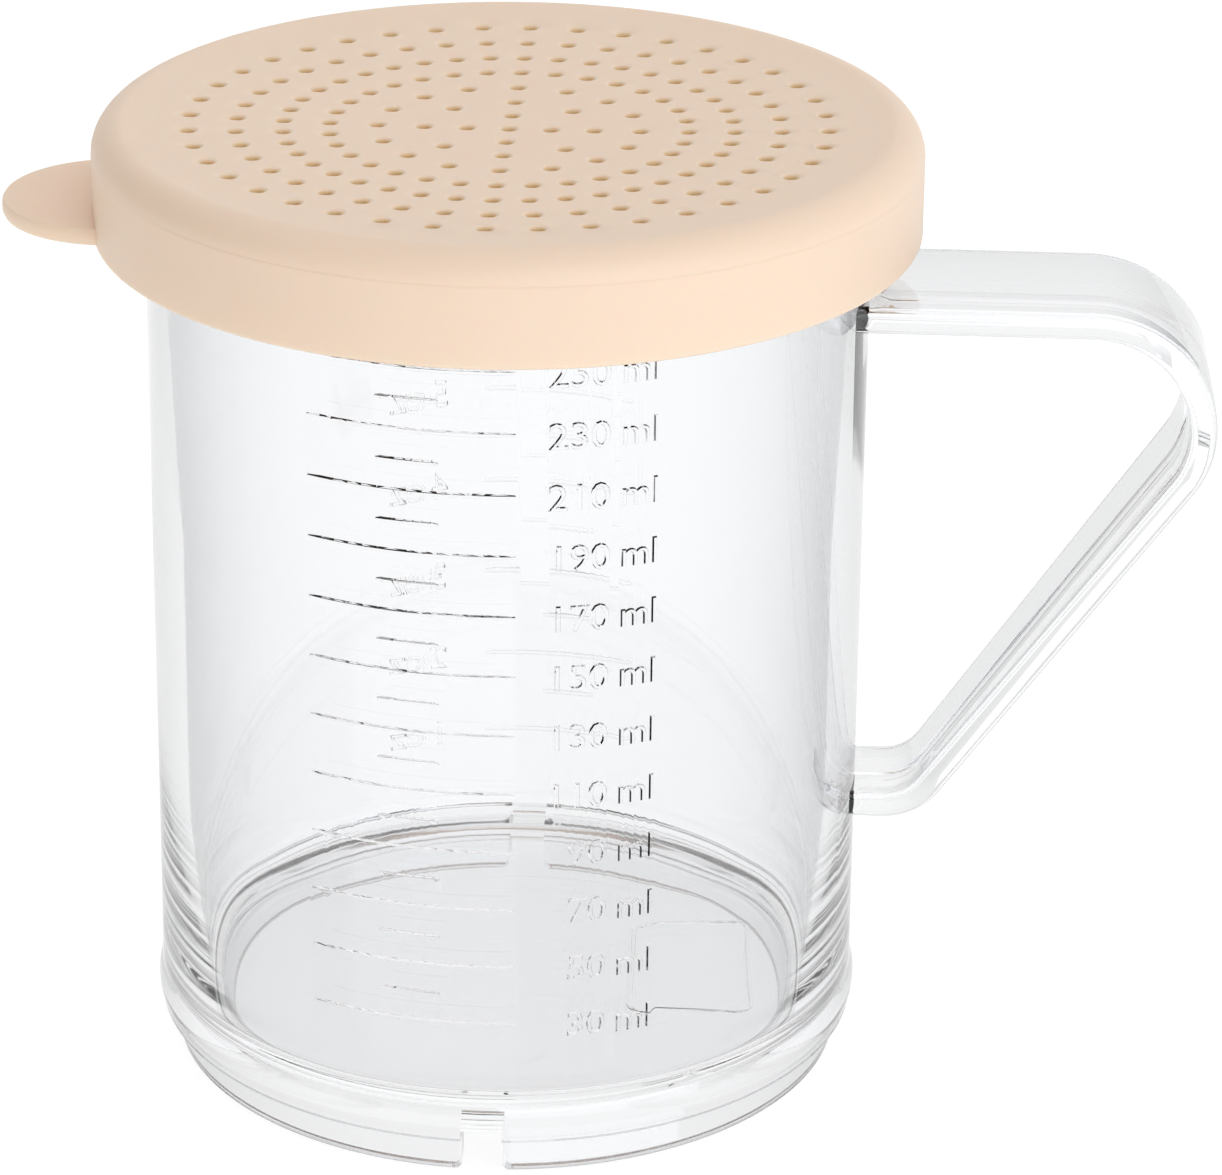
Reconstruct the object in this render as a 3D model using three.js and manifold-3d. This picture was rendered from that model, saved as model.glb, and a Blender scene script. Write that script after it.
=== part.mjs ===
// A hand shaker for flour and sugar: a clear moulded cup with an open strap handle, and a lid
// whose dished top is a sieve. The cup stands on a foot ring. Millimetres, +Z up, the foot on
// z = 0, the handle towards +X, the lid's thumb tab towards -X and the metric scale facing -Y.
// Radii and the constants below are measured from the cup's own axis.
import * as THREE from 'three';
import { mergeVertices } from 'three/addons/utils/BufferGeometryUtils.js';
import Module from 'manifold-3d';

const wasm = await Module();
wasm.setup();

// Cup
const wallOuterRadius = 35.3;
const wallThickness = 3.0;
const floorUnderside = 5.6;
const floorThickness = 2.24;
const floorCornerRadius = 1.1;
const cupHeight = 94.1;
const rimHeight = 3.9;
const rimOverhang = 2.7;
const rimEdge = 0.5;

// Bead and foot under the wall
const beadProud = 0.43;
const beadHeight = 2.9;
const beadBottom = 3.95;
const footInset = 1.5;
const footWidth = 2.8;
const footEdge = 0.3;
const drainWidth = 4.0;

// Handle: a strip in the plane y = 0 that narrows towards its lower end. The arm and the heel
// are measured out from the wall, and the drop down from the lid.
const handleDrop = 4.46;
const handleThickness = 2.65;
const handleArm = 21.38;
const handleShoulderRadius = 11.23;
const handleKneeRadius = 9.64;
const handleHeelRadius = 5.7;
const handleHeelReach = 2.71;
const handleBottom = 26.18;
const handleUpperWidth = 18.6;
const handleLowerWidth = 12.1;
const handleEdge = 0.78;

// Graduations. A bar's height on the wall follows from the volume under it, and the scale
// ends below the lid. Every second bar is a long one; spans are angles from the scale's middle.
const ounceInMillilitres = 29.5735;
const scaleTopMargin = 1.8;
const barHeight = 0.5;
const barRelief = 0.3;
const metricScale = { facing: -90, first: 30, step: 10, unit: 1, long: [-27.8, 5.2], short: [-16.3, -6.5] };
const ounceScale = {
  facing: 90, first: 1, step: 0.5, unit: ounceInMillilitres, long: [-20, 8.7], short: [-11.9, -2.6],
};

// Lid
const skirtThickness = 1.94;
const skirtDepth = 10.98;
const lidShoulderRadius = 3.0;
const dishDepth = 0.93;
const dishSlope = 4.8;
const sieveThickness = 1.8;
const tabOverhang = 9.16;
const tabRadius = 10.9;
const tabThickness = 1.7;
const tabRise = 0.35;
const tabEdge = 0.45;
const tabSegments = 12;

// Sieve holes: one in the middle and rings that all start in line with +Y
const holeRadius = 0.65;
const firstRingRadius = 4.0;
const holeRingPitch = 4.47;
const holesPerRing = [4, 8, 16, 32, 40]; // and the last number again for every ring after it
const sieveMargin = 2.0; // from the outermost ring's centres to the plate's edge
const holeSides = 6;

// Fits
const capClearance = 0.3;
const rootClearance = 0.3;

// Values that follow from the sizes above
const wallInnerRadius = wallOuterRadius - wallThickness;
const beadRadius = wallOuterRadius + beadProud;
const footOuterRadius = wallOuterRadius - footInset;
const footInnerRadius = footOuterRadius - footWidth;
const floorTop = floorUnderside + floorThickness;
const beadTop = beadBottom + beadHeight + 2 * beadProud;
const wallBottom = Math.max(floorTop + floorCornerRadius, beadTop);
const wallTop = cupHeight - rimHeight;
const rimOuterRadius = wallOuterRadius + rimOverhang;
const lidInnerRadius = rimOuterRadius + capClearance;
const lidOuterRadius = lidInnerRadius + skirtThickness;
const sieveUnderside = cupHeight + capClearance;
const sieveTop = sieveUnderside + sieveThickness;
const sieveRadius = lidInnerRadius - dishSlope;
const lidTop = sieveTop + dishDepth;
const lidBottom = lidTop - skirtDepth;
const handleTop = lidBottom - handleDrop;
const handleUpperEnd = wallOuterRadius + handleArm;
const tabReach = lidOuterRadius + tabOverhang;
const millilitresPerHeight = Math.PI * wallInnerRadius ** 2 / 1000;
const turn = Math.PI / 180;
const roundSegments = 72;
const arcSegments = 3;

const clearPlastic = { color: 0xf2f4f5, roughness: 0.08, metalness: 0, transparent: true, opacity: 0.35 };
const lidPlastic = { color: 0xe9d2b6, roughness: 0.42, metalness: 0 };

// Keeps only the shared corner points of a geometry, which a closed solid needs.
function welded(geometry) {
  geometry.deleteAttribute('normal');
  geometry.deleteAttribute('uv');
  return mergeVertices(geometry, 1e-4);
}

function toSolid(geometry) {
  const closed = welded(geometry);
  return new wasm.Manifold(new wasm.Mesh({
    numProp: 3,
    vertProperties: closed.attributes.position.array,
    triVerts: new Uint32Array(closed.index.array),
  }));
}

function toGeometry(solid) {
  const { vertProperties, triVerts } = solid.getMesh();
  const geometry = new THREE.BufferGeometry();
  geometry.setAttribute('position', new THREE.BufferAttribute(vertProperties, 3));
  geometry.setIndex(new THREE.BufferAttribute(triVerts, 1));
  geometry.computeVertexNormals();
  return geometry;
}

// Turns a profile of [radius, height] points about +Z.
function turned(profile) {
  const points = profile.map(([radius, height]) => new THREE.Vector2(radius, height));
  return new THREE.LatheGeometry(points, roundSegments).rotateX(Math.PI / 2);
}

// A ring's profile runs up its outside and down its inside, and closes on itself.
function turnedRing(profile) {
  return turned([...profile, profile[0]]);
}

// Points along an arc about [radius, height], from one angle to another in degrees.
function arcPoints([radius, height], size, from, to) {
  return Array.from({ length: arcSegments + 1 }, (_, i) => {
    const angle = (from + (to - from) * i / arcSegments) * turn;
    return [radius + size * Math.cos(angle), height + size * Math.sin(angle)];
  });
}

// A flat outline in X and Y, pushed up from z = 0.
function extruded(outline, depth, edge = 0, curveSegments = arcSegments) {
  return new THREE.ExtrudeGeometry(outline, {
    depth: depth - 2 * edge,
    curveSegments,
    bevelEnabled: edge > 0,
    bevelThickness: edge,
    bevelSize: edge,
    bevelOffset: -edge,
    bevelSegments: 2,
  }).translate(0, 0, edge);
}

// The round space that a piece's root keeps clear of.
function roundCutter(radius) {
  return toSolid(turned([[0, -1], [radius, -1], [radius, lidTop + 1], [0, lidTop + 1]]));
}

// A slot through the foot at -Y and +Y that lets water out of the recess under the floor.
function drainCutter() {
  const length = 2 * (wallOuterRadius + beadProud + 1);
  return toSolid(new THREE.BoxGeometry(drainWidth, length, 2 * floorUnderside));
}

// One graduation bar, let into the wall so that it joins it.
function graduationBar(facing, [from, to], height) {
  const bar = new THREE.Shape();
  bar.absarc(0, 0, wallOuterRadius + barRelief, (facing + from) * turn, (facing + to) * turn, false);
  bar.absarc(0, 0, wallOuterRadius - wallThickness / 2, (facing + to) * turn, (facing + from) * turn, true);
  return toSolid(extruded(bar, barHeight).translate(0, 0, height - barHeight / 2));
}

function graduationBars({ facing, first, step, unit, long, short }) {
  const firstHeight = floorTop + first * unit / millilitresPerHeight;
  const spacing = step * unit / millilitresPerHeight;
  const count = 1 + Math.floor((lidBottom - scaleTopMargin - firstHeight) / spacing);
  return Array.from({ length: count }, (_, i) => {
    const span = i % 2 === 0 ? long : short;
    return graduationBar(facing, span, firstHeight + i * spacing);
  });
}

function cupWall() {
  const tube = turnedRing([
    [wallOuterRadius, wallBottom],
    [wallOuterRadius, wallTop],
    [wallInnerRadius, wallTop],
    [wallInnerRadius, wallBottom],
  ]);
  const bars = [...graduationBars(metricScale), ...graduationBars(ounceScale)];
  return toGeometry(bars.reduce((wall, bar) => wall.add(bar), toSolid(tube)));
}

// The flange that the lid presses onto.
function cupRim() {
  const outerEdge = rimOuterRadius - rimEdge;
  return turnedRing([
    [wallOuterRadius, wallTop],
    [outerEdge, wallTop + rimEdge],
    [rimOuterRadius, wallTop + 2 * rimEdge],
    ...arcPoints([outerEdge, cupHeight - rimEdge], rimEdge, 0, 90),
    [wallInnerRadius + rimEdge, cupHeight],
    [wallInnerRadius, cupHeight - rimEdge],
    [wallInnerRadius, wallTop],
  ]);
}

// The floor, with the bead that runs round the foot of the wall.
function cupFloor() {
  const corner = [wallInnerRadius - floorCornerRadius, floorTop + floorCornerRadius];
  const base = turned([
    [0, floorUnderside],
    [footInnerRadius, floorUnderside],
    [footInnerRadius, beadBottom],
    [wallOuterRadius, beadBottom],
    [beadRadius, beadBottom + beadHeight / 2],
    [beadRadius - beadProud / 2, beadBottom + beadHeight],
    [wallOuterRadius, beadTop],
    [wallOuterRadius, wallBottom],
    [wallInnerRadius, wallBottom],
    ...arcPoints(corner, floorCornerRadius, 0, -90),
    [0, floorTop],
  ]);
  return toGeometry(toSolid(base).subtract(drainCutter()));
}

// The foot ring, which the two drain slots part into halves. side is 1 at the handle, -1 at the tab.
function footHalf(side) {
  const ring = turnedRing([
    [footInnerRadius, footEdge],
    [footInnerRadius + footEdge, 0],
    [footOuterRadius - footEdge, 0],
    [footOuterRadius, footEdge],
    [footOuterRadius, beadBottom],
    [footInnerRadius, beadBottom],
  ]);
  const length = 2 * footOuterRadius + 2;
  const otherHalf = new THREE.BoxGeometry(length, length, length).translate(-side * length / 2, 0, 0);
  return toGeometry(toSolid(ring).subtract(toSolid(otherHalf)).subtract(drainCutter()));
}

// The strip's outline in the plane of the handle: out from the wall, over the shoulder, round
// the knee, down the slope and back in over the heel.
function handleOutline() {
  const half = handleThickness / 2;
  const upper = handleTop - half;
  const lower = handleBottom + half;
  const shoulder = [handleUpperEnd, upper - handleShoulderRadius];
  const knee = [handleUpperEnd + handleShoulderRadius - handleKneeRadius, shoulder[1]];
  const heel = [wallOuterRadius + handleHeelReach, lower + handleHeelRadius];
  // The slope is the straight line that touches both the knee's and the heel's arc.
  const [across, up] = [knee[0] - heel[0], knee[1] - heel[1]];
  const turnIn = Math.acos((handleHeelRadius - handleKneeRadius) / Math.hypot(across, up));
  const bend = turnIn - Math.atan2(up, across);
  const root = wallInnerRadius;
  const outline = new THREE.Shape();
  outline.moveTo(root, upper + half);
  outline.absarc(...shoulder, handleShoulderRadius + half, Math.PI / 2, 0, true);
  outline.absarc(...knee, handleKneeRadius + half, 0, -bend, true);
  outline.absarc(...heel, handleHeelRadius + half, -bend, -Math.PI / 2, true);
  outline.lineTo(root, lower - half);
  outline.lineTo(root, lower + half);
  outline.absarc(...heel, handleHeelRadius - half, -Math.PI / 2, -bend, false);
  outline.absarc(...knee, handleKneeRadius - half, -bend, 0, false);
  outline.absarc(...shoulder, handleShoulderRadius - half, 0, Math.PI / 2, false);
  outline.lineTo(root, upper - half);
  return outline;
}

function handleStrip() {
  const strip = extruded(handleOutline(), handleUpperWidth, handleEdge);
  strip.translate(0, 0, -handleUpperWidth / 2).rotateX(Math.PI / 2);
  const corners = strip.attributes.position;
  for (let i = 0; i < corners.count; i += 1) {
    const share = (corners.getZ(i) - handleBottom) / (handleTop - handleBottom);
    const width = handleLowerWidth + (handleUpperWidth - handleLowerWidth) * share;
    corners.setY(i, corners.getY(i) * width / handleUpperWidth);
  }
  return toGeometry(toSolid(strip).subtract(roundCutter(wallOuterRadius + barRelief + rootClearance)));
}

// The lid's skirt, its rounded shoulder and the ring that slopes in to the sieve.
function lidShell() {
  const shoulder = [lidOuterRadius - lidShoulderRadius, lidTop - lidShoulderRadius];
  return turnedRing([
    [lidInnerRadius, lidBottom],
    [lidOuterRadius, lidBottom],
    ...arcPoints(shoulder, lidShoulderRadius, 0, 90),
    [sieveRadius, sieveTop],
    [sieveRadius, sieveUnderside],
    [lidInnerRadius, sieveUnderside],
  ]);
}

function sievePlate() {
  const plate = new THREE.Shape();
  for (let i = 0; i < roundSegments; i += 1) {
    const angle = 2 * Math.PI * i / roundSegments;
    plate[i ? 'lineTo' : 'moveTo'](sieveRadius * Math.cos(angle), sieveRadius * Math.sin(angle));
  }
  plate.holes.push(sieveHole(0, 0));
  const rings = 1 + Math.floor((sieveRadius - sieveMargin - firstRingRadius) / holeRingPitch);
  for (let ring = 0; ring < rings; ring += 1) {
    const count = holesPerRing[Math.min(ring, holesPerRing.length - 1)];
    plate.holes.push(...holeRing(firstRingRadius + ring * holeRingPitch, count));
  }
  return extruded(plate, sieveThickness).translate(0, 0, sieveUnderside);
}

function holeRing(radius, count) {
  return Array.from({ length: count }, (_, i) => {
    const angle = Math.PI / 2 + 2 * Math.PI * i / count;
    return sieveHole(radius * Math.cos(angle), radius * Math.sin(angle));
  });
}

function sieveHole(x, y) {
  const hole = new THREE.Path();
  for (let i = 0; i < holeSides; i += 1) {
    const angle = -2 * Math.PI * i / holeSides;
    hole[i ? 'lineTo' : 'moveTo'](x + holeRadius * Math.cos(angle), y + holeRadius * Math.sin(angle));
  }
  return hole;
}

function thumbTab() {
  const outline = new THREE.Shape();
  outline.absarc(tabRadius - tabReach, 0, tabRadius, 0, 2 * Math.PI, false);
  const tab = extruded(outline, tabThickness, tabEdge, tabSegments);
  tab.translate(0, 0, lidBottom + tabRise);
  return toGeometry(toSolid(tab).subtract(roundCutter(lidOuterRadius + rootClearance)));
}

function piece(name, geometry, finish) {
  const mesh = new THREE.Mesh(geometry, new THREE.MeshStandardMaterial(finish));
  mesh.name = name;
  return mesh;
}

const cup = new THREE.Group();
cup.add(
  piece('cup_wall', cupWall(), clearPlastic),
  piece('cup_rim', cupRim(), clearPlastic),
  piece('cup_floor', cupFloor(), clearPlastic),
  piece('foot_handle_side', footHalf(1), clearPlastic),
  piece('foot_tab_side', footHalf(-1), clearPlastic),
  piece('handle', handleStrip(), clearPlastic),
);

const lid = new THREE.Group();
lid.add(
  piece('lid_shell', lidShell(), lidPlastic),
  piece('sieve_plate', sievePlate(), lidPlastic),
  piece('thumb_tab', thumbTab(), lidPlastic),
);

// The origin stands under the middle of the whole object's length, from tab tip to handle.
const handleReach = handleUpperEnd + handleShoulderRadius + handleThickness / 2;
const shaker = new THREE.Group();
shaker.add(cup, lid);
shaker.position.x = (tabReach - handleReach) / 2;

export default shaker;
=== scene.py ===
import math
import bmesh
import bpy
from mathutils import Euler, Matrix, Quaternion, Vector
from mathutils.geometry import delaunay_2d_cdt


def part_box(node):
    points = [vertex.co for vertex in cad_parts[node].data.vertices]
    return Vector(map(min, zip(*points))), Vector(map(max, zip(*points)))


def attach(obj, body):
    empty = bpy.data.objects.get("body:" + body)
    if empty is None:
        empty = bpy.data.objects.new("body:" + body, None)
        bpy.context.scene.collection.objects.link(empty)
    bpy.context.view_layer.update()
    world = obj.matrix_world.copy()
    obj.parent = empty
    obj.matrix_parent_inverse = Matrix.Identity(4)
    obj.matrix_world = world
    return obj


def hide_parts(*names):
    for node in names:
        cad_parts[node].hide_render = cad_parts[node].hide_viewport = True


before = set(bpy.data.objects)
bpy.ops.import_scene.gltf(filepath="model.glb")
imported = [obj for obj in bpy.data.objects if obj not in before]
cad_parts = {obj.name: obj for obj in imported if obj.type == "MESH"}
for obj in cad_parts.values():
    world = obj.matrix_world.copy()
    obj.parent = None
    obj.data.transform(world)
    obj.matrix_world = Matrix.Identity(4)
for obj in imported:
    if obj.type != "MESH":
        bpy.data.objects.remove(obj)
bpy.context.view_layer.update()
print("frame loaded:", len(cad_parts), "nodes")

# what every piece hangs on, read from the frame; lengths below are in millimetres
mm = 0.001
shellLow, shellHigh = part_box("lid_shell")
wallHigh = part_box("cup_wall")[1]
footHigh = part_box("foot_handle_side")[1]
rimLow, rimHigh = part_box("cup_rim")
handleLow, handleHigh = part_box("handle")
tabLow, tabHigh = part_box("thumb_tab")
axisX = (shellLow.x + shellHigh.x) / 2
lidRadius = (shellHigh.x - axisX) / mm
lidBottom = shellLow.z / mm
lidTop = shellHigh.z / mm


def arc(centre, radius, start, end, steps):
    # points round a centre, angles in degrees, both ends included
    turns = [math.radians(start + (end - start) * i / steps) for i in range(steps + 1)]
    return [(centre[0] + radius * math.cos(a), centre[1] + radius * math.sin(a)) for a in turns]


def rounded(corner, radius, start, end, steps):
    # an arc in place of a square corner; start and end are a quarter turn apart
    a, b = math.radians(start), math.radians(end)
    across = corner[0] - radius * (math.cos(a) + math.cos(b))
    up = corner[1] - radius * (math.sin(a) + math.sin(b))
    return arc((across, up), radius, start, end, steps)


def facings(points, start, end):
    # pairs each point of an arc with the direction that it faces, in degrees
    last = len(points) - 1
    return [(p, start + (end - start) * i / last) for i, p in enumerate(points)]


def circle(centre, radius, count, start=0.0):
    # points round a full circle, the last one short of the first
    turns = [start + 2 * math.pi * i / count for i in range(count)]
    return [(centre[0] + radius * math.cos(a), centre[1] + radius * math.sin(a)) for a in turns]


def band(lower, upper):
    # four-cornered faces between two closed rows of point numbers
    count = len(lower)
    return [[lower[i], lower[(i + 1) % count], upper[(i + 1) % count], upper[i]] for i in range(count)]


def turned(profile, segments):
    # turns (radius, height) points about the axis; a radius of zero becomes one point
    points, rings = [], []
    for radius, height in profile:
        if radius < 1e-6:
            rings.append([len(points)] * segments)
            points.append((0, 0, height))
            continue
        rings.append(list(range(len(points), len(points) + segments)))
        points += [(x, y, height) for x, y in circle((0, 0), radius, segments)]
    faces = []
    for lower, upper in zip(rings, rings[1:]):
        faces += [list(dict.fromkeys(corners)) for corners in band(lower, upper)]
    return points, [f for f in faces if len(f) > 2]


def swept(sections, hoop=False):
    # joins sections of equal length into a skin; a hoop runs on into its start, the rest get ends
    count = len(sections[0])
    points = [p for section in sections for p in section]
    rings = [list(range(i * count, (i + 1) * count)) for i in range(len(sections))]
    faces = []
    for lower, upper in zip(rings, rings[1:] + rings[:1] if hoop else rings[1:]):
        faces += band(lower, upper)
    if not hoop:
        faces += [rings[0][::-1], rings[-1]]
    return points, faces


def merged(parts):
    # several sets of points and faces as one
    points, faces = [], []
    for partPoints, partFaces in parts:
        start = len(points)
        points += partPoints
        faces += [[start + i for i in f] for f in partFaces]
    return points, faces


def solid(name, points, faces):
    # a mesh object with its shared points welded and every face turned outwards
    mesh = bpy.data.meshes.new(name)
    mesh.from_pydata([tuple(c * mm for c in p) for p in points], [], faces)
    mesh.validate()
    work = bmesh.new()
    work.from_mesh(mesh)
    bmesh.ops.remove_doubles(work, verts=work.verts, dist=1e-7)
    bmesh.ops.recalc_face_normals(work, faces=work.faces)
    work.to_mesh(mesh)
    work.free()
    piece = bpy.data.objects.new(name, mesh)
    bpy.context.scene.collection.objects.link(piece)
    return piece


def combined(piece, tool, operation):
    # a solid join or cut, applied at once
    cut = piece.modifiers.new("join", "BOOLEAN")
    cut.object = tool
    cut.operation = operation
    cut.solver = "MANIFOLD"
    graph = bpy.context.evaluated_depsgraph_get()
    result = bpy.data.meshes.new_from_object(piece.evaluated_get(graph))
    piece.modifiers.clear()
    print(operation.lower(), tool.name, len(piece.data.polygons), "->", len(result.polygons))
    piece.data = result
    bpy.data.objects.remove(tool)
    return piece


def finished(piece, material, crease):
    # soft shading with a crease at sharper corners, the material, and the place on the cup's axis
    piece.data.shade_smooth()
    piece.data.set_sharp_from_angle(angle=math.radians(crease))
    piece.data.materials.clear()
    piece.data.materials.append(material)
    piece.location.x = axisX


class Wire:
    # one output socket, which takes part in sums as a number does
    def __init__(self, recipe, socket):
        self.recipe, self.socket = recipe, socket

    def maths(self, operation, first, second):
        return self.recipe.node("ShaderNodeMath", {"operation": operation}, {0: first, 1: second})

    def __add__(self, other):
        return self.maths("ADD", self, other)

    def __radd__(self, other):
        return self.maths("ADD", other, self)

    def __sub__(self, other):
        return self.maths("SUBTRACT", self, other)

    def __rsub__(self, other):
        return self.maths("SUBTRACT", other, self)

    def __mul__(self, other):
        return self.maths("MULTIPLY", self, other)

    def __rmul__(self, other):
        return self.maths("MULTIPLY", other, self)

    def __pow__(self, other):
        return self.maths("POWER", self, other)

    def __rpow__(self, other):
        return self.maths("POWER", other, self)


class Recipe:
    # the nodes of one material, or of the sky
    def __init__(self, owner, shader="Principled BSDF"):
        owner.use_nodes = True
        self.owner = owner
        self.tree = owner.node_tree
        self.shader = self.tree.nodes[shader]

    def fill(self, socket, value):
        # a link from a wire, or a fixed value
        if isinstance(value, Wire):
            self.tree.links.new(value.socket, socket)
        else:
            socket.default_value = value

    def node(self, kind, settings, inputs, output=0):
        made = self.tree.nodes.new(kind)
        for key, value in settings.items():
            setattr(made, key, value)
        for key, value in inputs.items():
            self.fill(made.inputs[key], value)
        return Wire(self, made.outputs[output])

    def set(self, **values):
        for key, value in values.items():
            self.fill(self.shader.inputs[key.replace("_", " ")], value)

    def place(self, kind="Object"):
        return self.node("ShaderNodeTexCoord", {}, {}, output=kind)

    def split(self, spot):
        # the x, y and z of a place
        return [self.node("ShaderNodeSeparateXYZ", {}, {"Vector": spot}, output=i) for i in range(3)]

    def noise(self, scale, detail, stretch=None):
        spot = self.place()
        if stretch:
            spot = self.node("ShaderNodeMapping", {}, {"Vector": spot, "Scale": stretch})
        return self.node("ShaderNodeTexNoise", {}, {"Vector": spot, "Scale": scale, "Detail": detail})

    def blend(self, share, first, second):
        inputs = {"Factor": share, "A": first, "B": second}
        return self.node("ShaderNodeMix", {"data_type": "RGBA"}, inputs, output="Result")

    def ramp(self, value, start, end):
        # 0 before the start and 1 past the end, which may lie either way round
        return self.node("ShaderNodeMapRange", {}, {"Value": value, "From Min": start, "From Max": end})

    def bump(self, height, strength, distance):
        inputs = {"Height": height, "Strength": strength, "Distance": distance}
        return self.node("ShaderNodeBump", {}, inputs)


cup = {
    "wall": round((wallHigh.x - axisX) / mm, 2),
    "thick": 3.0,
    "floor": 7.84,
    "under": 5.6,
    "corner": 1.1,
    "foot": {"in": 31.0, "out": 33.8, "top": footHigh.z / mm},
    "footRounds": {"recess": 0.5, "inner": 0.3, "outer": 0.4, "step": 0.3},
    "bead": {"out": 35.73, "height": 6.0, "depth": 3.2, "low": -24, "high": 30},
    "beadStart": [(-0.1, 0), (0.12, 0.12)],  # out from the wall, up from the foot's top
    "beadEnd": [(0.1, 8.2), (0, 9.0)],  # out from the wall, up from the bench
    "flangeStart": [(0, -0.2), (0.1, 0)],  # out from the wall, up from the rim's lowest point
    "flangeEnd": [(-0.5, 0.3), (0, 0.9)],  # out from the rim's edge, up from its lowest point
    "rim": {"out": (rimHigh.x - axisX) / mm, "low": rimLow.z / mm, "top": rimHigh.z / mm, "round": 0.6},
    "levels": (30, 60),  # rows of points up the wall
    "discs": (0, 12, 24),  # rings of points across the floor
    "segments": 240,
    "crease": 32,
}
cup["inner"] = cup["wall"] - cup["thick"]


def clearPlastic():
    look = {
        "tint": (0.948, 0.952, 0.958, 1),
        "haze": (0.918, 0.924, 0.932, 1),
        # painted shade: a near-black grey that the walls turn to where they face away from the viewer
        "edge": (0.08, 0.084, 0.09, 1),
        "paintedEdgeShadeFall": 2.4,
        "cloud": (22.0, 4.0),
        "scuff": (900.0, 2.0, (1.0, 1.0, 0.12)),
        "flow": (45.0, 2.0, (1.0, 1.0, 0.35)),
        "scuffHigh": 0.04,
        "ripple": (0.06, 0.0002),
        "gloss": 0.012,
        "dull": 0.03,
        "index": 1.585,
    }
    recipe = Recipe(bpy.data.materials.new("clearPlastic"))
    cloud, scuff, flow = (recipe.noise(*look[key]) for key in ("cloud", "scuff", "flow"))
    facing = recipe.node("ShaderNodeLayerWeight", {}, {"Blend": 0.5}, output="Facing")
    body = recipe.blend(cloud ** 2.0, look["tint"], look["haze"])
    # painted shade: the clear walls darken towards grey where they turn away, standing in for dark
    # surroundings seen in them
    colour = recipe.blend(facing ** look["paintedEdgeShadeFall"], body, look["edge"])  # greyer where it turns away
    rough = look["gloss"] + look["dull"] * scuff ** 3.0
    ripple = recipe.bump(flow + scuff * look["scuffHigh"], *look["ripple"])
    recipe.set(Base_Color=colour, Roughness=rough, Normal=ripple)
    recipe.set(Transmission_Weight=1.0, IOR=look["index"])
    return recipe.owner


def cupProfile():
    # from the middle of the underside out over the foot, up the wall, over the rim and down inside
    wall, inner, foot, bead, rim = (cup[key] for key in ("wall", "inner", "foot", "bead", "rim"))
    rounds = cup["footRounds"]
    profile = [(r, cup["under"]) for r in cup["discs"]]
    profile += rounded((foot["in"], cup["under"]), rounds["recess"], 90, 0, 3)
    profile += rounded((foot["in"], 0), rounds["inner"], 180, 270, 3)
    profile += rounded((foot["out"], 0), rounds["outer"], 270, 360, 4)
    profile += rounded((foot["out"], foot["top"]), rounds["step"], 180, 90, 3)
    profile += [(wall + out, foot["top"] + up) for out, up in cup["beadStart"]]
    swell = bead["out"] - wall + bead["depth"]
    profile += arc((wall - bead["depth"], bead["height"]), swell, bead["low"], bead["high"], 8)
    profile += [(wall + out, up) for out, up in cup["beadEnd"]]
    profile += [(wall, level) for level in cup["levels"]]
    profile += [(wall + out, rim["low"] + up) for out, up in cup["flangeStart"]]
    profile += [(rim["out"] + out, rim["low"] + up) for out, up in cup["flangeEnd"]]
    profile += rounded((rim["out"], rim["top"]), rim["round"], 0, 90, 4)
    profile += rounded((inner, rim["top"]), rim["round"], 90, 180, 4)
    profile += [(inner, level) for level in reversed(cup["levels"])]
    profile += rounded((inner, cup["floor"]), cup["corner"], 0, -90, 8)
    return profile + [(r, cup["floor"]) for r in reversed(cup["discs"])]


bar = {
    "tall": 0.52,
    "steps": 14,
    "taper": 0.55,  # what is left of its size at each end
    "outline": [(-0.6, -0.5), (0, -0.5), (1.0, -0.24), (1.0, 0.24), (0, 0.5), (-0.6, 0.5)],
}


def barPart(centre, span, height, proud):
    # one raised bar: a low ridge with sloped sides that follows the wall and tapers at its ends
    start, end = span
    sections = []
    for i in range(bar["steps"] + 1):
        a = math.radians(centre + start + (end - start) * i / bar["steps"])
        size = bar["taper"] if i in (0, bar["steps"]) else 1.0
        section = []
        for out, up in bar["outline"]:
            r = cup["wall"] + proud * (out * size if out > 0 else out)
            section.append((r * math.cos(a), r * math.sin(a), height + bar["tall"] * up * size))
        sections.append(section)
    return swept(sections)


lettering = {
    "tall": 2.75,
    "stretch": 1.07,
    "drop": 0.25,  # a label's middle sits this far below its bar
    "reach": 5.3,  # from a label's place round to its right-hand end
    "root": 0.2,  # how far the backs of the letters run into the wall
    "sink": 0.02,  # how far in their bevels start
    "half": 0.5,  # half the letters' thickness; from here on in the font's own units
    "bevel": 0.03,
    "thinned": -0.012,
    "gap": 0.8,  # a space's width, as a share of the font's own
    "curveSteps": 3,
}


def glyphs(text):
    # a line of lettering as a closed mesh, in the font's own units
    curve = bpy.data.curves.new("lettering", "FONT")
    curve.body = text
    curve.extrude = lettering["half"]
    curve.bevel_depth = lettering["bevel"]
    curve.bevel_resolution = 0
    curve.offset = lettering["thinned"]
    curve.resolution_u = lettering["curveSteps"]
    curve.space_word = lettering["gap"]
    letters = bpy.data.objects.new("lettering", curve)
    bpy.context.scene.collection.objects.link(letters)
    graph = bpy.context.evaluated_depsgraph_get()
    mesh = bpy.data.meshes.new_from_object(letters.evaluated_get(graph))
    bpy.data.objects.remove(letters)
    work = bmesh.new()
    work.from_mesh(mesh)
    bmesh.ops.remove_doubles(work, verts=work.verts, dist=1e-5)
    bmesh.ops.triangulate(work, faces=work.faces)
    points = [tuple(v.co) for v in work.verts]
    faces = [[v.index for v in f.verts] for f in work.faces]
    work.free()
    return points, faces


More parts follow.
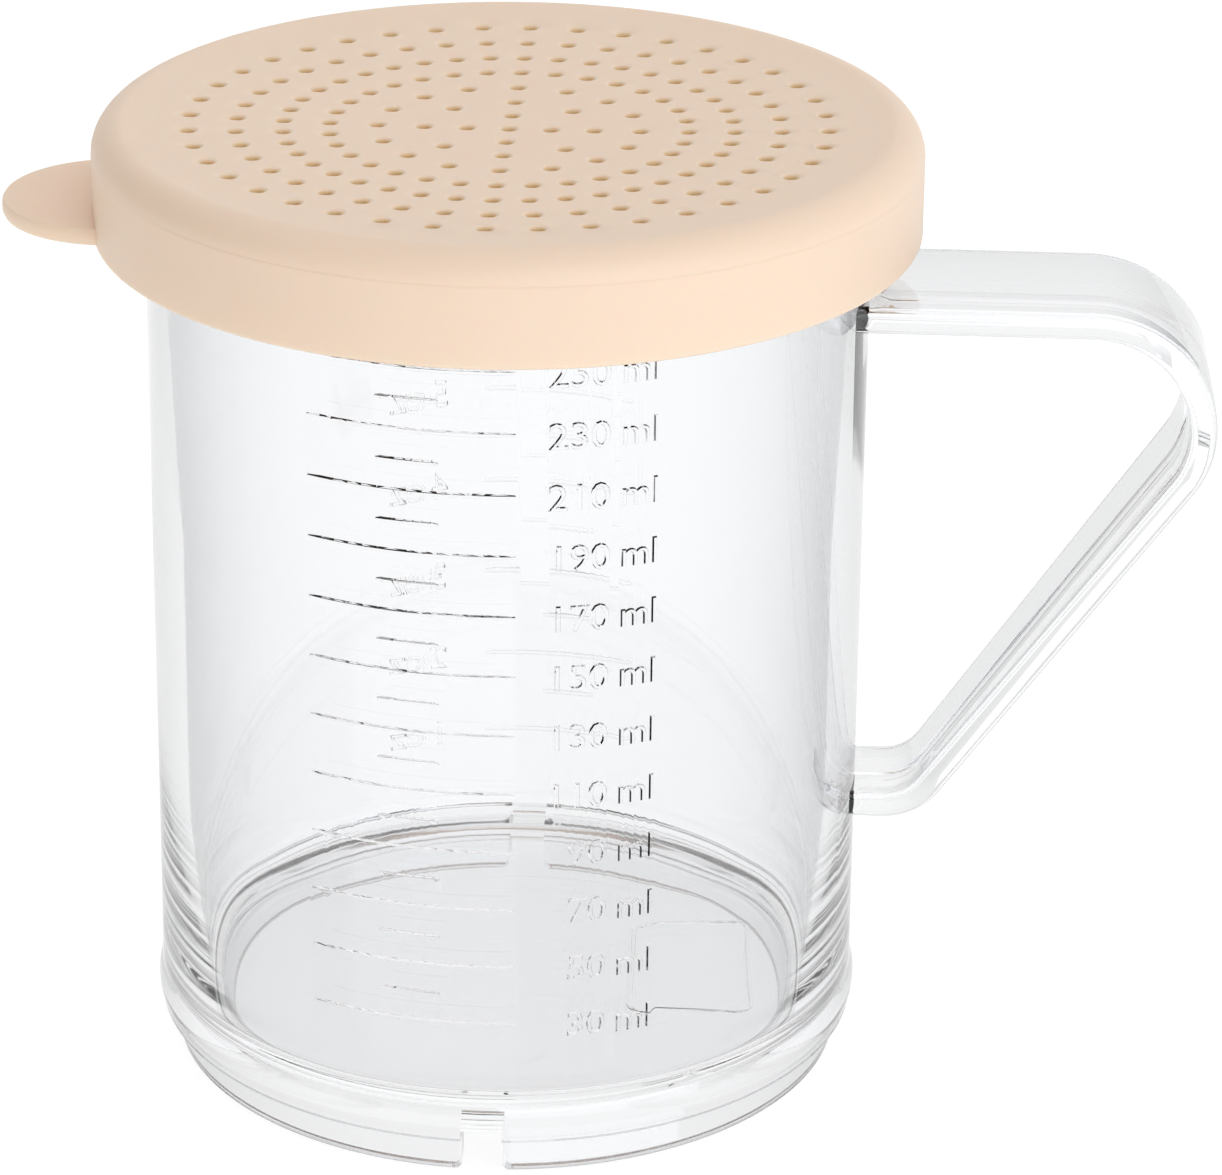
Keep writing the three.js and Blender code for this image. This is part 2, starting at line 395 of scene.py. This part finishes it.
def labelPart(text, centre, height, relief):
    # wraps a line of lettering round the wall, so that all right-hand ends are in line
    points, faces = glyphs(text)
    low, high = min(p[1] for p in points), max(p[1] for p in points)
    right = max(p[0] for p in points)
    size = lettering["tall"] / (high - low)
    front = lettering["half"] + lettering["bevel"] / 2
    wrapped = []
    for x, y, z in points:
        along = (x - right) * size * lettering["stretch"] + lettering["reach"]
        a = math.radians(centre) + along / cup["wall"]
        r = cup["wall"] + (relief if z > front else -lettering["sink"] if z > 0 else -lettering["root"])
        wrapped.append((r * math.cos(a), r * math.sin(a), height + (y - (low + high) / 2) * size))
    return wrapped, faces


def scaleParts():
    # a bar's height follows from the volume under it; every other bar is long and has a label
    metric = {"face": -90, "first": 30, "step": 10, "last": 250, "millilitres": 1.0, "word": "ml"}
    metric.update(long=(-27.8, 5.2), short=(-16.3, -6.5), label=18.6, proud=0.27, relief=0.20)
    ounce = {"face": 90, "first": 1, "step": 0.5, "last": 8, "millilitres": 29.5735, "word": "oz"}
    ounce.update(long=(-20.0, 8.7), short=(-11.9, -2.6), label=17.9, proud=0.16, relief=0.12)
    cubicMm = 1000  # in a millilitre
    area = math.pi * cup["inner"] ** 2
    parts = []
    for scale in (metric, ounce):
        marks = round((scale["last"] - scale["first"]) / scale["step"])
        for i in range(marks + 1):
            amount = scale["first"] + i * scale["step"]
            height = cup["floor"] + amount * scale["millilitres"] * cubicMm / area
            span = scale["long" if i % 2 == 0 else "short"]
            parts.append(barPart(scale["face"], span, height, scale["proud"]))
            if i % 2 == 0:
                words = f"{round(amount)} {scale['word']}"
                place = scale["face"] + scale["label"]
                parts.append(labelPart(words, place, height - lettering["drop"], scale["relief"]))
    return parts


def drainParts():
    # slots through the foot at the front and the back, which flare in a curve at the bench
    drain = {"half": 2.0, "flare": 1.0, "roof": 0.35, "below": -1, "inside": 1.5, "outside": 1.0}
    half, flare, top = drain["half"], drain["flare"], cup["under"] - drain["roof"]
    wide = half + flare
    side = arc((wide, flare), flare, 180, 270, 5)
    outline = [(half, top)] + side + [(wide, drain["below"])]
    outline += [(-wide, drain["below"])] + [(-x, z) for x, z in reversed(side)] + [(-half, top)]
    reach = (cup["foot"]["in"] - drain["inside"], cup["bead"]["out"] + drain["outside"])
    return [swept([[(x, way * r, z) for x, z in outline] for r in reach]) for way in (-1, 1)]


strap = {
    "thick": 2.65,
    "arm": 21.38,  # from the wall out to the shoulder's centre
    "shoulder": 11.23,
    "knee": 9.64,
    "kneeStart": -2,
    "heel": 5.7,
    "heelOut": 2.71,
    "root": 1.4,  # how far its ends run into the wall
    "level": (2, 11),  # places along the straight top, out from the wall
    "top": handleHigh.z / mm,
    "bottom": handleLow.z / mm,
    "upperWidth": 18.6,
    "lowerWidth": 12.1,
    "edge": 0.78,
    "rib": {"half": 1.35, "slope": 0.12, "high": 0.24},
}


def strapLine():
    # the middle of the strap and its facing: out from the wall, over the shoulder and the knee,
    # down the slope and back in over the heel
    half, wall = strap["thick"] / 2, cup["wall"]
    upper, lower = strap["top"] - half, strap["bottom"] + half
    shoulder = (wall + strap["arm"], upper - strap["shoulder"])
    knee = (shoulder[0] + strap["shoulder"] - strap["knee"], shoulder[1])
    heel = (wall + strap["heelOut"], lower + strap["heel"])
    run, rise = knee[0] - heel[0], knee[1] - heel[1]
    lean = math.acos((strap["heel"] - strap["knee"]) / math.hypot(run, rise))
    bend = math.degrees(lean - math.atan2(rise, run))  # the slope's facing, below the level
    root = wall - strap["root"]
    line = [((root, upper), 90)] + [((wall + out, upper), 90) for out in strap["level"]]
    for centre, radius, start, end, steps in (
        (shoulder, strap["shoulder"], 90, 0, 16),
        (knee, strap["knee"], strap["kneeStart"], -bend, 7),
        (heel, strap["heel"], -bend, -90, 10),
    ):
        line += facings(arc(centre, radius, start, end, steps), start, end)
    return line + [((root, lower), -90)]


def strapSection(width):
    # across the strap: four rounded edges and a low rib along the underside
    half, edge, rib = strap["thick"] / 2, strap["edge"], strap["rib"]
    outline = rounded((width, half), edge, 0, 90, 4)
    outline += rounded((-width, half), edge, 90, 180, 4)
    outline += rounded((-width, -half), edge, 180, 270, 4)
    outline += [(-rib["half"] - rib["slope"], -half), (-rib["half"], -half - rib["high"])]
    outline += [(rib["half"], -half - rib["high"]), (rib["half"] + rib["slope"], -half)]
    return outline + rounded((width, -half), edge, 270, 360, 4)


def handlePart():
    # the strap narrows evenly from its top to its bottom
    line = strapLine()
    upper, lower = line[0][0][1], line[-1][0][1]
    sections = []
    for (x, z), facing in line:
        share = (z - lower) / (upper - lower)
        width = strap["lowerWidth"] + (strap["upperWidth"] - strap["lowerWidth"]) * share
        a = math.radians(facing)
        outline = strapSection(width / 2)
        sections.append([(x + out * math.cos(a), side, z + out * math.sin(a)) for side, out in outline])
    return swept(sections)


def floorPadPart():
    # the raised edge of a plain rounded panel on the floor, left blank
    pad = {"x": 19.2, "y": -4.5, "wide": 12.4, "deep": 19.6, "corner": 1.8, "edge": 0.22, "high": 0.16}
    ridge = [(-1, -0.8), (1, -0.8), (1, 0.5), (0.4, 1), (-0.4, 1), (-1, 0.5)]
    outline = []
    for sx, sy, start in ((1, 1, 0), (-1, 1, 90), (-1, -1, 180), (1, -1, 270)):
        corner = (sx * pad["wide"] / 2, sy * pad["deep"] / 2)
        outline += facings(rounded(corner, pad["corner"], start, start + 90, 5), start, start + 90)
    sections = []
    for (x, y), facing in outline:
        a = math.radians(facing)
        section = []
        for out, up in ridge:
            px = pad["x"] + x + out * pad["edge"] * math.cos(a)
            py = pad["y"] + y + out * pad["edge"] * math.sin(a)
            section.append((px, py, cup["floor"] + up * pad["high"]))
        sections.append(section)
    return swept(sections, hoop=True)


def makeCup(plastic):
    body = solid("clear_cup", *turned(cupProfile(), cup["segments"]))
    combined(body, solid("marks", *merged(scaleParts())), "UNION")
    combined(body, solid("strap", *handlePart()), "UNION")
    combined(body, solid("pad", *floorPadPart()), "UNION")
    combined(body, solid("drains", *merged(drainParts())), "DIFFERENCE")
    finished(body, plastic, cup["crease"])
    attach(body, "cup")
    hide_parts("cup_wall", "cup_rim", "cup_floor", "foot_handle_side", "foot_tab_side", "handle")


lid = {
    "rings": [  # radius and number of holes
        (0, 1), (4.05, 4), (8.21, 8), (12.70, 16), (17.34, 32), (21.80, 40), (26.34, 40), (30.86, 40),
    ],
    "hole": 0.60,
    "mouth": 1.15,
    "mouthRings": (1.05, 0.93, 0.82, 0.72, 0.65),
    "mouthDrop": 0.36,
    "exit": {"high": 0.15, "out": 0.12},  # the chamfer under each hole
    "around": 20,
    "filler": {"across": 1.1, "row": 0.95, "clear": 0.45, "margin": 0.5},
    "centre": 95.90,
    "thick": 1.8,
    "shoulder": 3.0,
    "low": 0.62,  # share of the rise that comes early
    "steep": 0.38,  # and close to the rim
    "inside": 38.3,
    "ceiling": {"run": 1.2, "rise": 0.1, "round": 0.8, "turn": 70},  # its corner with the skirt
    "lip": {"in": 0.3, "round": 0.45},
    "insideLevel": 5,  # rows of points up the skirt
    "outsideLevels": (4, 8),
    "flat": 34.0,
    "segments": 240,
    "crease": 40,
}


def dish(r):
    # the top's height, nearly flat in the middle and rising to the rim; takes numbers and wires
    share = r * (1 / (lidRadius - lid["shoulder"]))
    return lid["centre"] + (lidTop - lid["centre"]) * (lid["low"] * share ** 2 + lid["steep"] * share ** 9)


def paintedHoleShadeMask(recipe):
    # 1 on the walls and mouths of the sieve holes, where a darker golden shade is painted, 0 on the rest of
    # the lid
    fade = {"mouth": (0.08, 0.32), "exit": (1.75, 1.6), "edge": (33.0, 32.5)}  # two depths and a radius
    x, y, z = (part * (1 / mm) for part in recipe.split(recipe.place()))
    radius = (x * x + y * y) ** 0.5
    depth = dish(radius) - z
    bore = recipe.ramp(depth, *fade["mouth"]) * recipe.ramp(depth, *fade["exit"])
    return bore * recipe.ramp(radius, *fade["edge"])


def lidPlastic():
    look = {
        "body": (0.90, 0.70, 0.54, 1),
        "deep": (0.87, 0.67, 0.505, 1),
        # painted shade: a darker, more golden colour on the walls and mouths of the sieve holes
        "hole": (0.74, 0.52, 0.27, 1),
        "cloud": (30.0, 3.0),
        "grain": (2600.0, 2.0),
        "wear": (260.0, 5.0),
        "wearHigh": 0.3,
        "skin": (0.22, 0.00006),
        "gloss": 0.40,
        "dull": 0.14,
        "soft": {"weight": 0.35, "scale": 0.0025, "radius": (1.0, 0.62, 0.4)},
        "index": 1.5,
    }
    recipe = Recipe(bpy.data.materials.new("lidPlastic"))
    cloud, grain, wear = (recipe.noise(*look[key]) for key in ("cloud", "grain", "wear"))
    colour = recipe.blend(cloud, look["body"], look["deep"])
    # painted shade in the sieve holes
    colour = recipe.blend(paintedHoleShadeMask(recipe), colour, look["hole"])
    skin = recipe.bump(grain + wear * look["wearHigh"], *look["skin"])
    recipe.set(Base_Color=colour, Roughness=look["gloss"] + look["dull"] * wear, Normal=skin)
    soft = look["soft"]
    recipe.set(Subsurface_Weight=soft["weight"], Subsurface_Scale=soft["scale"])
    recipe.set(Subsurface_Radius=soft["radius"], IOR=look["index"])
    return recipe.owner


def fillers(centres):
    # a staggered grid of points between the holes, so that the dish curves smoothly
    grid = lid["filler"]
    reach = int(lid["flat"] / grid["across"]) + 1
    kept = []
    for i in range(-reach, reach + 1):
        for j in range(-reach, reach + 1):
            spot = ((i + (j % 2) / 2) * grid["across"], j * grid["row"])
            free = all(math.dist(spot, c) > lid["mouth"] + grid["clear"] for c in centres)
            if free and math.hypot(*spot) < lid["flat"] - grid["margin"]:
                kept.append(spot)
    return kept


def holeSteps(height):
    # radius and height of the rings down one hole: its soft mouth, its bore and its exit chamfer
    steps = []
    for r in (*lid["mouthRings"], lid["hole"]):
        share = (lid["mouth"] - r) / (lid["mouth"] - lid["hole"])
        steps.append((r, height - lid["mouthDrop"] * share ** 2.2))
    under = height - lid["thick"]
    steps.append((lid["hole"], under + lid["exit"]["high"]))
    steps.append((lid["hole"] + lid["exit"]["out"], under))
    return steps


def sievePart():
    # the perforated middle: one flat layout of hole mouths and fillers serves both faces
    around = lid["around"]
    centres, flat, loops = [], [], []
    for radius, count in lid["rings"]:
        centres += circle((0, 0), radius, count, math.pi / 2)
    for centre in centres:
        loops.append(list(range(len(flat), len(flat) + around)))
        flat += circle(centre, lid["mouth"], around)
    edge = list(range(len(flat), len(flat) + lid["segments"]))
    flat += circle((0, 0), lid["flat"], lid["segments"]) + fillers(centres)
    edges = [pair for loop in loops + [edge] for pair in zip(loop, loop[1:] + loop[:1])]
    spots, _, triangles, origins, *_ = delaunay_2d_cdt([Vector(p) for p in flat], edges, [], 0, 1e-6)
    points = [(p.x, p.y, dish(p.length)) for p in spots]
    below = len(points)
    points += [(x, y, z - lid["thick"]) for x, y, z in points]
    faces = []
    for corners in triangles:
        middle = sum((spots[i] for i in corners), Vector((0, 0))) / len(corners)
        if all(math.dist(middle, c) > lid["mouth"] * 0.97 for c in centres):
            faces += [list(corners), [below + i for i in reversed(corners)]]
    place = {old: new for new, olds in enumerate(origins) for old in olds}
    for centre, loop in zip(centres, loops):
        ring = [place[i] for i in loop]
        for radius, height in holeSteps(dish(math.hypot(*centre))):
            fresh = list(range(len(points), len(points) + around))
            points += [(x, y, height) for x, y in circle(centre, radius, around)]
            faces += band(ring, fresh)
            ring = fresh
        faces += band(ring, [below + place[i] for i in loop])
    return points, faces


def shellPart():
    # skirt, shoulder and the ring that runs in to the perforated middle, open where it meets that
    inside, shoulder, lip, ceiling = (lid[key] for key in ("inside", "shoulder", "lip", "ceiling"))
    under, curve = dish(lid["flat"]) - lid["thick"], ceiling["round"]
    profile = [(lid["flat"], under), (inside - ceiling["run"], under + ceiling["rise"])]
    profile += arc((inside - curve, under - curve), curve, ceiling["turn"], 0, 4)
    profile += [(inside, lidBottom + lid["insideLevel"])]
    profile += [(inside, lidBottom + lip["in"]), (inside + lip["in"], lidBottom)]
    profile += rounded((lidRadius, lidBottom), lip["round"], 270, 360, 5)
    profile += [(lidRadius, lidBottom + up) for up in lid["outsideLevels"]]
    profile += rounded((lidRadius, lidTop), shoulder, 0, 90, 9)
    count = 8
    step = (lidRadius - shoulder - lid["flat"]) / count
    rings = [lid["flat"] + i * step for i in reversed(range(count))]
    return turned(profile + [(r, dish(r)) for r in rings], lid["segments"])


def tabPart():
    # a thin tongue with a soft edge, which grows out of the skirt's lower edge
    tab = {"radius": 10.9, "reach": (axisX - tabLow.x) / mm, "inner": -5.0, "segments": 96}
    low, high = tabLow.z / mm, tabHigh.z / mm
    edge = [(-0.5, 1.0), (-0.22, 0.93), (-0.05, 0.62), (0.0, 0.1), (-0.03, -0.5), (-0.2, -0.9), (-0.5, -1.0)]
    middle, half = (low + high) / 2, (high - low) / 2
    sides = [(tab["inner"], 1.0)] + edge + [(tab["inner"], -1.0)]
    profile = [(0, middle + half)] + [(tab["radius"] + out, middle + half * up) for out, up in sides]
    points, faces = turned(profile + [(0, middle - half)], tab["segments"])
    centre = tab["radius"] - tab["reach"]
    return [(x + centre, y, z) for x, y, z in points], faces


def trimmedTab():
    # the tongue stops inside the skirt's wall; the core that cuts it stands well above and below it
    core = {"radius": lid["inside"] + 0.8, "low": lidBottom - 6, "high": lidBottom + 6}
    side = [(core["radius"], core["low"]), (core["radius"], core["high"])]
    profile = [(0, core["low"])] + side + [(0, core["high"])]
    return combined(solid("tab", *tabPart()), solid("core", *turned(profile, lid["segments"])), "DIFFERENCE")


def makeLid(plastic):
    body = solid("sieve_lid", *merged([sievePart(), shellPart()]))
    combined(body, trimmedTab(), "UNION")
    finished(body, plastic, lid["crease"])
    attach(body, "lid")
    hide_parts("lid_shell", "sieve_plate", "thumb_tab")


def makeStage():
    # one plain pale floor, the same all over, just under the foot
    ground = {"colour": (0.20, 0.20, 0.20, 1), "rough": 0.9, "glow": 0.90, "half": 3000, "drop": 0.05}
    recipe = Recipe(bpy.data.materials.new("paleFloor"))
    recipe.set(Base_Color=ground["colour"], Roughness=ground["rough"])
    recipe.set(Emission_Color=(1, 1, 1, 1), Emission_Strength=ground["glow"])
    half = ground["half"]
    corners = [(x * half, y * half, -ground["drop"]) for x, y in ((-1, -1), (1, -1), (1, 1), (-1, 1))]
    sheet = solid("floor", corners, [[0, 1, 2, 3]])
    sheet.data.materials.append(recipe.owner)


def makeSky():
    # a white studio, brightest behind and overhead, a little dimmer at the sides
    sky = {"low": 0.34, "behind": 0.62, "above": 0.46, "beside": 0.18, "right": 0.06}
    world = bpy.data.worlds.new("studio")
    bpy.context.scene.world = world
    recipe = Recipe(world, "Background")
    side, depth, high = recipe.split(recipe.place("Generated"))
    behind = (0.5 + 0.5 * depth) ** 2.0
    strength = sky["low"] + sky["behind"] * behind + sky["above"] * high ** 2.0
    strength = strength - sky["beside"] * (side * side) + sky["right"] * side
    recipe.set(Strength=strength, Color=(1, 1, 1, 1))


def makeKeyLight():
    # one large soft light from the right and the front
    key = {"place": (0.75, -1.1, 0.50), "aim": (0, 0, 0.06), "size": (1.7, 1.3)}
    key.update(power=11.0, colour=(0.95, 1.0, 1.10))
    data = bpy.data.lights.new("keyLight", "AREA")
    data.shape = "RECTANGLE"
    data.size, data.size_y = key["size"]
    data.energy = key["power"]
    data.color = key["colour"]
    lamp = bpy.data.objects.new("keyLight", data)
    bpy.context.scene.collection.objects.link(lamp)
    lamp.location = key["place"]
    lamp.rotation_euler = (Vector(key["aim"]) - Vector(key["place"])).to_track_quat("-Z", "Y").to_euler()


def makeCamera():
    # degrees and millimetres; azimuth and drop aim it, and the last three are small corrections
    shot = {"azimuth": 4.025, "drop": 23.04, "out": 478.4, "height": 253.8, "focus": 153.15}
    shot.update(roll=0.136, aside=1.138, over=0.276)
    data = bpy.data.cameras.new("camera")
    data.lens, data.sensor_width = shot["focus"], 36
    data.clip_start, data.clip_end = 0.01, 20
    camera = bpy.data.objects.new("camera", data)
    bpy.context.scene.collection.objects.link(camera)
    a = math.radians(shot["azimuth"])
    out, height = shot["out"] * mm, shot["height"] * mm
    camera.location = (axisX + out * math.sin(a), -out * math.cos(a), height)
    turn = Euler((math.radians(90 - shot["drop"]), 0, a)).to_quaternion()
    turn = turn @ Quaternion((0, 0, 1), math.radians(shot["roll"]))
    turn = turn @ Quaternion((0, 1, 0), -math.radians(shot["aside"]))
    turn = turn @ Quaternion((1, 0, 0), -math.radians(shot["over"]))
    camera.rotation_mode = "QUATERNION"
    camera.rotation_quaternion = turn
    bpy.context.scene.camera = camera


# enough bounces for light to cross several clear walls
scene = bpy.context.scene
scene.view_settings.view_transform = "Standard"
scene.cycles.max_bounces = 32
scene.cycles.transmission_bounces = 32
scene.cycles.glossy_bounces = 16

makeCup(clearPlastic())
print("cup made")
makeLid(lidPlastic())
print("lid made")
makeStage()
makeSky()
makeKeyLight()
makeCamera()
print("stage, light and camera set")
